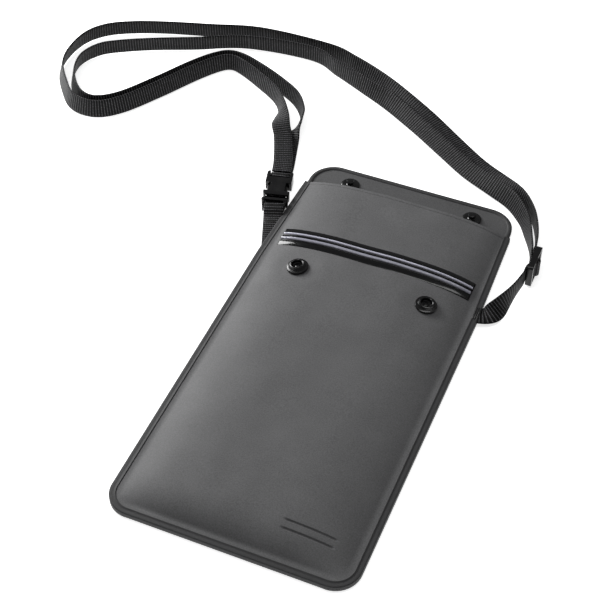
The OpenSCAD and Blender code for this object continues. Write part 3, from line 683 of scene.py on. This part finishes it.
class NECKPOUCH_OT_edges(bpy.types.Operator):
    """Makes the pressed rim round the pouch, its ends on the top, and the tongue's binding"""
    bl_idname = "neckpouch.edges"
    bl_label = "Pressed edges"

    def band(self, name, path, profile, material, body, nodes):
        """Sweeps a closed profile of (inset, height) along path, a list of (point, inward)."""
        last, wide = len(path) - 1, len(profile) - 1
        bm = bmesh.new()
        bm.loops.layers.uv.new("UVMap")
        bmesh.ops.create_grid(bm, x_segments=last, y_segments=wide, size=1, calc_uvs=True)
        for v in bm.verts:
            (x, y), (nx, ny) = path[round((v.co.x + 1) / 2 * last)]
            inset, z = profile[round((v.co.y + 1) / 2 * wide)]
            v.co = Vector((x + nx * inset, y + ny * inset, z)) * MM
        bmesh.ops.remove_doubles(bm, verts=bm.verts, dist=1e-6)
        bmesh.ops.holes_fill(bm, edges=[e for e in bm.edges if e.is_boundary], sides=0)
        bmesh.ops.recalc_face_normals(bm, faces=bm.faces)
        obj = to_object(bm, name, material, 50)
        if nodes:
            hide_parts(*nodes)
        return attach(obj, body)

    def execute(self, context):
        material = material_for("rim")
        w = RIM_W
        low, high = BACK_T - 0.1, RIM_TOP
        profile = [(0.25, low), (0.0, low + 0.25), (0.0, high - 0.35), (0.15, high - 0.1),
                   (0.5, high), (w * 0.5, high - 0.15), (w - 0.75, high - 0.1), (w - 0.5, high + 0.1),
                   (w - 0.25, high + 0.12), (w - 0.02, high - 0.1), (w, high - 0.5), (w, low),
                   (0.25, low)]
        path = []
        for y in even(FOLD_Y, BOTTOM_Y + CORNER_R, 60):
            path.append(((-HALF_W + draw_in(y), y), (1, 0)))
        for corner, start in ((-1, 180), (1, 270)):
            centre = (corner * (HALF_W - CORNER_R), BOTTOM_Y + CORNER_R)
            for k in range(1, 17):
                a = math.radians(start + 90 * k / 16)
                path.append(((centre[0] + CORNER_R * math.cos(a), centre[1] + CORNER_R * math.sin(a)),
                             (-math.cos(a), -math.sin(a))))
            if corner < 0:
                for x in even(-HALF_W + CORNER_R, HALF_W - CORNER_R, 24)[1:-1]:
                    path.append(((x, BOTTOM_Y), (0, 1)))
                path.append(((HALF_W - CORNER_R, BOTTOM_Y), (0, 1)))
        for y in even(BOTTOM_Y + CORNER_R, FOLD_Y, 60)[1:]:
            path.append(((HALF_W - draw_in(y), y), (-1, 0)))
        self.band("pressed_rim", path, profile, material, "pouch", ["front_rim"])
        for side, name in ((-1, "left"), (1, "right")):
            ends = [((side * (HALF_W - draw_in(y)), y), (-side, 0))
                    for y in even(FOLD_Y, MOUTH_Y, 20)]
            self.band(name + "_top_rim", ends, profile, material, "flap",
                      ["flap_rims"] if side > 0 else [])
        edge = [(0.1, BACK_T - 0.35), (0.0, BACK_T + 0.2), (0.3, BACK_T + 0.5),
                (1.2, BACK_T + 0.55), (2.0, BACK_T + 0.45), (2.4, BACK_T - 0.1),
                (0.1, BACK_T - 0.35)]
        tongue = []
        for y in even(MOUTH_Y + 0.2, BACK_TOP_Y - TONGUE_R, 4):
            tongue.append(((-TONGUE_HALF, y), (1, 0)))
        for corner, start in ((-1, 180), (1, 90)):
            centre = (corner * (TONGUE_HALF - TONGUE_R), BACK_TOP_Y - TONGUE_R)
            for k in range(1, 17):
                a = math.radians(start - 90 * k / 16)
                tongue.append(((centre[0] + TONGUE_R * math.cos(a),
                                centre[1] + TONGUE_R * math.sin(a)),
                               (-math.cos(a), -math.sin(a))))
            if corner < 0:
                for x in even(TONGUE_R - TONGUE_HALF, TONGUE_HALF - TONGUE_R, 20)[1:]:
                    tongue.append(((x, BACK_TOP_Y), (0, -1)))
        for y in even(BACK_TOP_Y - TONGUE_R, MOUTH_Y + 0.2, 4)[1:]:
            tongue.append(((TONGUE_HALF, y), (-1, 0)))
        self.band("tongue_binding", tongue, edge, material, "flap", ["flap_edge"])
        return {"FINISHED"}


class NECKPOUCH_OT_lining(bpy.types.Operator):
    """Makes the thin lining that parts the two pockets"""
    bl_idname = "neckpouch.lining"
    bl_label = "Pocket lining"

    def execute(self, context):
        low, high = mm_box("pocket_divider")

        def place(u, y):
            x = u * (high[0] - 0.3)
            return x, y, max(BACK_T + 0.45, front_z(x, y) - PANEL_T - 1.1)

        bm = grid(60, even(low[1] + 1, high[1], 60), place)
        obj = cloth(bm, "pocket_lining", material_for("lining"), 0.35)
        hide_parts("pocket_divider")
        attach(obj, "pouch")
        return {"FINISHED"}


class NECKPOUCH_OT_seal(bpy.types.Operator):
    """Makes the two tracks of the press-to-close strip, with their fine ridges"""
    bl_idname = "neckpouch.seal"
    bl_label = "Seal strip"

    def track(self, name, profile, body, node_name):
        """Profile is (y, z, shiny) round the section; the shiny points are the beads."""
        columns = 96
        bm = bmesh.new()
        bm.loops.layers.uv.new("UVMap")
        wide = len(profile) - 1
        bmesh.ops.create_grid(bm, x_segments=columns, y_segments=wide, size=1, calc_uvs=True)
        for f in bm.faces:
            spots = [profile[round((v.co.y + 1) / 2 * wide)] for v in f.verts]
            f.material_index = int(all(s[2] for s in spots))
        for v in bm.verts:
            x = v.co.x * (SEAL_HALF - 0.1)
            y, z, _ = profile[round((v.co.y + 1) / 2 * wide)]
            v.co = Vector((x, y, front_z(x, (SEAL_TOP + SEAL_BOTTOM) / 2) + z)) * MM
        bmesh.ops.remove_doubles(bm, verts=bm.verts, dist=1e-6)
        bmesh.ops.holes_fill(bm, edges=[e for e in bm.edges if e.is_boundary], sides=0)
        bmesh.ops.recalc_face_normals(bm, faces=bm.faces)
        obj = to_object(bm, name, material_for("seal"), 50)
        # The upper track's beads take the painted highlight; the lower track's beads keep the bead
        # colour.
        obj.data.materials.append(material_for("bead" if body == "seal_lower" else "highlight_bead"))
        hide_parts(node_name)
        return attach(obj, body)

    def bead(self, centre, width, low, high, shiny=1):
        """A half-round bead on the strip."""
        return [(centre - width / 2 * math.cos(math.radians(a)),
                 low + (high - low) * math.sin(math.radians(a)), shiny) for a in range(0, 181, 20)]

    def execute(self, context):
        mid = (SEAL_BOTTOM + SEAL_TOP) / 2
        lower = [(SEAL_BOTTOM, -0.5, 0), (SEAL_BOTTOM, 0.1, 0), (SEAL_BOTTOM + 0.5, 0.32, 0),
                 (SEAL_BOTTOM + 2.9, 0.5, 0)]
        lower += self.bead(mid - 2.75, 0.6, 0.5, 0.75, 0) + [(mid - 2.3, 0.4, 0)]
        lower += self.bead(mid - 1.2, 1.8, 0.45, 1.2)
        lower += [(mid - 0.15, 0.1, 0), (mid - 0.15, -0.5, 0), (SEAL_BOTTOM, -0.5, 0)]
        upper = [(mid + 0.05, -0.5, 0), (mid + 0.05, 0.1, 0)]
        upper += self.bead(mid + 0.8, 0.9, 0.45, 0.9, 0) + [(mid + 1.35, 0.2, 0)]
        upper += self.bead(mid + 2.1, 1.2, 0.45, 1.15)
        upper += [(mid + 2.9, 0.5, 0), (SEAL_TOP - 0.5, 0.32, 0), (SEAL_TOP, 0.1, 0),
                  (SEAL_TOP, -0.5, 0), (mid + 0.05, -0.5, 0)]
        self.track("seal_lower_strip", lower, "seal_lower", "seal_lower_track")
        self.track("seal_upper_strip", upper, "pouch", "seal_upper_track")
        return {"FINISHED"}


class NECKPOUCH_OT_snaps(bpy.types.Operator):
    """Turns the snap sockets on the front, the studs on the tongue and their caps behind"""
    bl_idname = "neckpouch.snaps"
    bl_label = "Snaps"

    def execute(self, context):
        material = material_for("plastic")
        socket = [(0, 0.42), (0.8, 0.4), (1.1, 0.3), (1.3, 0.12), (2.3, 0.1), (2.55, 0.4),
                  (2.65, 1.4), (2.8, 1.8), (3.15, 2.0), (3.5, 1.92), (3.8, 1.5), (3.92, 0.95),
                  (4.1, 0.68), (4.7, 0.62), (5.15, 0.48), (5.4, 0.15), (5.4, -0.3), (0, -0.3)]
        stud = [(0, 3.4), (1.3, 3.4), (1.75, 3.25), (1.98, 2.9), (1.9, 2.4), (1.65, 2.0),
                (1.65, 1.3), (2.0, 1.05), (3.7, 1.0), (4.4, 0.85), (4.85, 0.5), (4.9, 0.0), (0, 0)]
        cap = [(0, 0.02), (3.3, 0.02), (4.2, 0.12), (4.5, 0.35), (4.55, 0.7), (0, 0.7)]
        slope = (CREST - EDGE_Z) * CROWN_POWER * (SNAP_X / CROWN_HALF) ** (CROWN_POWER - 1)
        lean = math.atan(slope / CROWN_HALF)
        crown = EDGE_Z + (CREST - EDGE_Z) * (1 - (SNAP_X / CROWN_HALF) ** CROWN_POWER)
        for side, name in ((-1, "left"), (1, "right")):
            bm = spun(socket)
            placed(bm, Matrix.Translation(Vector((side * SNAP_X, SOCKET_Y, crown)) * MM)
                   @ Matrix.Rotation(side * lean, 4, "Y"))
            obj = to_object(bm, name + "_socket", material, 30)
            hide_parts(name + "_snap_socket")
            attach(obj, "pouch")
            bm = spun(stud)
            placed(bm, Matrix.Translation(Vector((side * SNAP_X, STUD_Y, BACK_T)) * MM))
            obj = to_object(bm, name + "_stud", material, 30)
            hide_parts(name + "_snap_stud")
            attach(obj, "flap")
            bm = spun(cap)
            placed(bm, Matrix.Translation(Vector((side * SNAP_X, STUD_Y, 0)) * MM))
            obj = to_object(bm, name + "_cap", material, 30)
            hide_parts(name + "_snap_cap")
            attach(obj, "flap")
            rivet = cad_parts[name + "_socket_rivet"]
            rivet.data.materials.clear()
            rivet.data.materials.append(material)
        return {"FINISHED"}


class NECKPOUCH_OT_buckle(bpy.types.Operator):
    """Makes the side-release buckle's halves and prongs with moulded edges"""
    bl_idname = "neckpouch.buckle"
    bl_label = "Buckle"

    def execute(self, context):
        material = material_for("plastic")
        for name, source, body, radius in (
                ("buckle_lower_half", "buckle_male", "pouch", 0.35),
                ("buckle_upper_half", "buckle_female", "buckle_upper", 0.45),
                ("buckle_left_prong", "left_prong", "left_prong", 0.3),
                ("buckle_right_prong", "right_prong", "right_prong", 0.3)):
            obj = moulded_copy(name, source, material, radius)
            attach(obj, body)
        return {"FINISHED"}


class NECKPOUCH_OT_strap(bpy.types.Operator):
    """Sweeps the neck strap's two legs, the tab, the right strap and its turn in the adjuster"""
    bl_idname = "neckpouch.strap"
    bl_label = "Webbing"

    def leg(self, name, route, split, nodes):
        points = catmull([(x, y - ROUTE_Y, z, t) for x, y, z, t in route], 1.6)
        cut = min(range(len(points)), key=lambda i: math.dist(
            points[i][:2], (route[split][0], route[split][1] - ROUTE_Y)))
        material = material_for("web")
        for part, piece, bodies, ends in (
                (points[:cut + 1], "_left_run", ("buckle_upper", "pouch"), (0, 16)),
                (points[cut:], "_right_run", ("pouch", "adjuster"), (-18, -1))):
            obj, centres = web_strip(name + piece, part, material)
            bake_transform(obj)
        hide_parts(nodes[0], nodes[1])
        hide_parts(nodes[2])

    def loop(self, name, centre, radius, body, node_name, turn):
        """Webbing sewn back round a bar."""
        steps = 40
        profile = web_profile(WEB_W, WEB_T)
        bm = bmesh.new()
        uv = bm.loops.layers.uv.new("UVMap")
        wide = len(profile) - 1
        bmesh.ops.create_grid(bm, x_segments=steps, y_segments=wide, size=1, calc_uvs=True)
        for f in bm.faces:
            for corner in f.loops:
                k = round(corner[uv].uv.y * wide)
                corner[uv].uv = (corner[uv].uv.x * 2 * math.pi * radius * MM, profile[k][0] * MM)
        for v in bm.verts:
            a = 2 * math.pi * (v.co.x + 1) / 2
            across, through = profile[round((v.co.y + 1) / 2 * wide)]
            r = radius + through
            v.co = Vector((r * math.cos(a), r * math.sin(a), across)) * MM
        bmesh.ops.remove_doubles(bm, verts=bm.verts, dist=1e-7)
        bmesh.ops.recalc_face_normals(bm, faces=bm.faces)
        placed(bm, Matrix.Translation(centre * MM) @ turn)
        obj = to_object(bm, name, material_for("web"), 60)
        if node_name:
            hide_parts(node_name)
        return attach(obj, body)

    def execute(self, context):
        self.leg("strap_outer", OUTER_ROUTE, OUTER_SPLIT,
                 ("outer_leg_start", "outer_leg", "outer_leg_end"))
        self.leg("strap_inner", INNER_ROUTE, INNER_SPLIT,
                 ("inner_leg_start", "inner_leg", "inner_leg_end"))
        material = material_for("web")
        right = catmull([(x, y - ROUTE_Y, z, t) for x, y, z, t in RIGHT_ROUTE], 1.2)
        obj, centres = web_strip("right_strap_webbing", right, material)
        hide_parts("right_strap")
        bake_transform(obj)
        # The pass over the adjuster's middle bar.
        at = ADJUSTER_AT
        weave = [(70.2, 93.2), (70.2, 90.6), (70.6, 88.6), (72, 86.7), (74.2, 85.2), (75.1, 84),
                 (74.2, 82.8), (72, 81.3), (70.6, 79.4), (70.2, 77.4), (70.2, 74.6)]
        points = catmull([(x, y, at.z, -90) for x, y in weave], 0.6)
        obj, _ = web_strip("adjuster_turn", points, material)
        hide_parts("adjuster_weave")
        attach(obj, "adjuster")
        self.loop("adjuster_sewn_loop", at, ADJUSTER_LOOP_R, "adjuster", "adjuster_loop",
                  Matrix.Identity(4))
        buckle = Matrix.Rotation(BUCKLE_TURN, 3, "Z")
        on_side = Matrix.Rotation(math.pi / 2, 4, "Y")
        bar = BUCKLE_AT + buckle @ Vector((0, UPPER_BAR_Y, BUCKLE_MID))
        self.loop("buckle_turn", bar, BAR_LOOP_R, "buckle_upper", "buckle_loop",
                  buckle.to_4x4() @ on_side)
        # Tab: round the lower bar, then flat under the rim. Its two plies close up behind the bar
        # and lie on each other.
        low = BUCKLE_AT + buckle @ Vector((0, LOWER_BAR_Y, BUCKLE_MID))
        down = Matrix.Rotation(TAB_TURN, 3, "Z")
        upper = [(0, 1.7), (-2.4, 1.45), (-4.2, 0.2), (-6.2, -0.7), (-12, -0.8), (-27, -0.8)]
        lower = [(0, -1.7), (-2.4, -1.45), (-4.2, -0.8), (-6.2, -1.1), (-12, -1.1), (-27, -1.1)]
        for ply, path in (("upper", upper), ("lower", lower)):
            spots = [(low + down @ Vector((0, y, 0)), z) for y, z in path]
            dense = catmull([(p.x, p.y, p.z + z, 0) for p, z in spots], 1.0)
            obj, _ = web_strip("tab_" + ply + "_ply", dense, material, TAB_T)
            bm = bmesh.new()
            bm.from_mesh(obj.data)
            # Nothing of the tab reaches past the rim's inner edge.
            bmesh.ops.bisect_plane(bm, geom=bm.verts[:] + bm.edges[:] + bm.faces[:], dist=1e-7,
                                   plane_co=((-INNER_HALF - 0.1) * MM, 0, 0),
                                   plane_no=(1, 0, 0), clear_outer=True)
            bmesh.ops.holes_fill(bm, edges=[e for e in bm.edges if e.is_boundary], sides=0)
            bmesh.ops.recalc_face_normals(bm, faces=bm.faces)
            bm.to_mesh(obj.data)
            bm.free()
            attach(obj, "pouch")
            if ply == "upper":
                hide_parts("left_tab")
        self.loop("tab_turn", low, BAR_LOOP_R, "pouch", None, down.to_4x4() @ on_side)
        return {"FINISHED"}


class NECKPOUCH_OT_adjuster(bpy.types.Operator):
    """Makes the slide adjuster with moulded edges"""
    bl_idname = "neckpouch.adjuster"
    bl_label = "Slide adjuster"

    def execute(self, context):
        obj = moulded_copy("slide_adjuster_frame", "slide_adjuster", material_for("plastic"), 0.45)
        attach(obj, "adjuster")
        return {"FINISHED"}


class NECKPOUCH_OT_stitching(bpy.types.Operator):
    """Makes the bar tacks on the tab and at the right strap, with rounded stitches"""
    bl_idname = "neckpouch.stitching"
    bl_label = "Stitching"

    def execute(self, context):
        for source, name in (("left_tab_stitching", "tab_bar_tack"),
                             ("right_strap_stitching", "right_bar_tack")):
            obj = moulded_copy(name, source, material_for("thread"), 0.12, 2)
            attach(obj, "pouch")
        return {"FINISHED"}


class NECKPOUCH_OT_stage(bpy.types.Operator):
    """Sets the pale floor, the soft lights and the camera"""
    bl_idname = "neckpouch.stage"
    bl_label = "Stage"

    def light(self, name, at, look, size, power):
        data = bpy.data.lights.new(name, "AREA")
        data.shape = "RECTANGLE"
        data.size, data.size_y = size
        data.energy = power
        lamp = bpy.data.objects.new(name, data)
        bpy.context.scene.collection.objects.link(lamp)
        lamp.location = at
        lamp.rotation_euler = (Vector(look) - Vector(at)).to_track_quat("-Z", "Y").to_euler()

    def execute(self, context):
        scene = context.scene
        bm = bmesh.new()
        bmesh.ops.create_grid(bm, x_segments=1, y_segments=1, size=6)
        bmesh.ops.translate(bm, verts=bm.verts, vec=(0, 0, -0.0003))
        material, tree = blank("matt_paper")
        shader = node(tree, "ShaderNodeBsdfPrincipled")
        shader.inputs["Base Color"].default_value = linear("#f7f7f7")
        shader.inputs["Roughness"].default_value = 0.9
        # A lit table keeps the ground white, with only a breath of shadow.
        shader.inputs["Emission Color"].default_value = (1, 1, 1, 1)
        shader.inputs["Emission Strength"].default_value = 0.7
        finish_material(material, tree, shader)
        floor = to_object(bm, "paper_floor", material)
        self.light("low_key", (-0.5, 0.24, 0.28), (-0.02, 0.02, 0), (0.3, 0.3), 5.0)
        self.light("overhead_strip", (-0.05, 0.1, 0.9), (0, 0.05, 0), (1.0, 0.16), 2.4)
        world = bpy.data.worlds.new("studio")
        world.use_nodes = True
        background = world.node_tree.nodes["Background"]
        background.inputs[0].default_value = (1, 1, 1, 1)
        background.inputs[1].default_value = 0.24
        scene.world = world
        data = bpy.data.cameras.new("camera")
        data.sensor_width = 36
        data.lens = CAMERA_LENS
        data.clip_start, data.clip_end = 0.01, 50
        camera = bpy.data.objects.new("camera", data)
        scene.collection.objects.link(camera)
        camera.location = CAMERA_AT * MM
        camera.rotation_euler = (CAMERA_LOOK - CAMERA_AT).to_track_quat("-Z", "Y").to_euler()
        scene.camera = camera
        scene.view_settings.view_transform = "Standard"
        return {"FINISHED"}


OPERATORS = (NECKPOUCH_OT_stage, NECKPOUCH_OT_strap, NECKPOUCH_OT_back, NECKPOUCH_OT_front,
             NECKPOUCH_OT_edges, NECKPOUCH_OT_lining, NECKPOUCH_OT_seal, NECKPOUCH_OT_snaps,
             NECKPOUCH_OT_buckle, NECKPOUCH_OT_adjuster, NECKPOUCH_OT_stitching)


class NECKPOUCH_PT_panel(bpy.types.Panel):
    """Lists the pouch's pieces in the sidebar"""
    bl_idname = "NECKPOUCH_PT_panel"
    bl_label = "Neck pouch"
    bl_space_type = "VIEW_3D"
    bl_region_type = "UI"
    bl_category = "Neck pouch"

    def draw(self, context):
        settings = context.scene.neck_pouch
        for name in settings.bl_rna.properties.keys():
            if name not in ("rna_type", "name"):
                self.layout.prop(settings, name)
        for operator in OPERATORS:
            self.layout.operator(operator.bl_idname)


CLASSES = (PouchSettings, *OPERATORS, NECKPOUCH_PT_panel)


def register():
    for item in CLASSES:
        bpy.utils.register_class(item)
    bpy.types.Scene.neck_pouch = bpy.props.PointerProperty(type=PouchSettings)


def unregister():
    del bpy.types.Scene.neck_pouch
    for item in reversed(CLASSES):
        bpy.utils.unregister_class(item)


def main():
    register()
    for operator in OPERATORS:
        group, name = operator.bl_idname.split(".")
        getattr(getattr(bpy.ops, group), name)()
    bpy.context.view_layer.update()


if __name__ == "__main__":
    main()
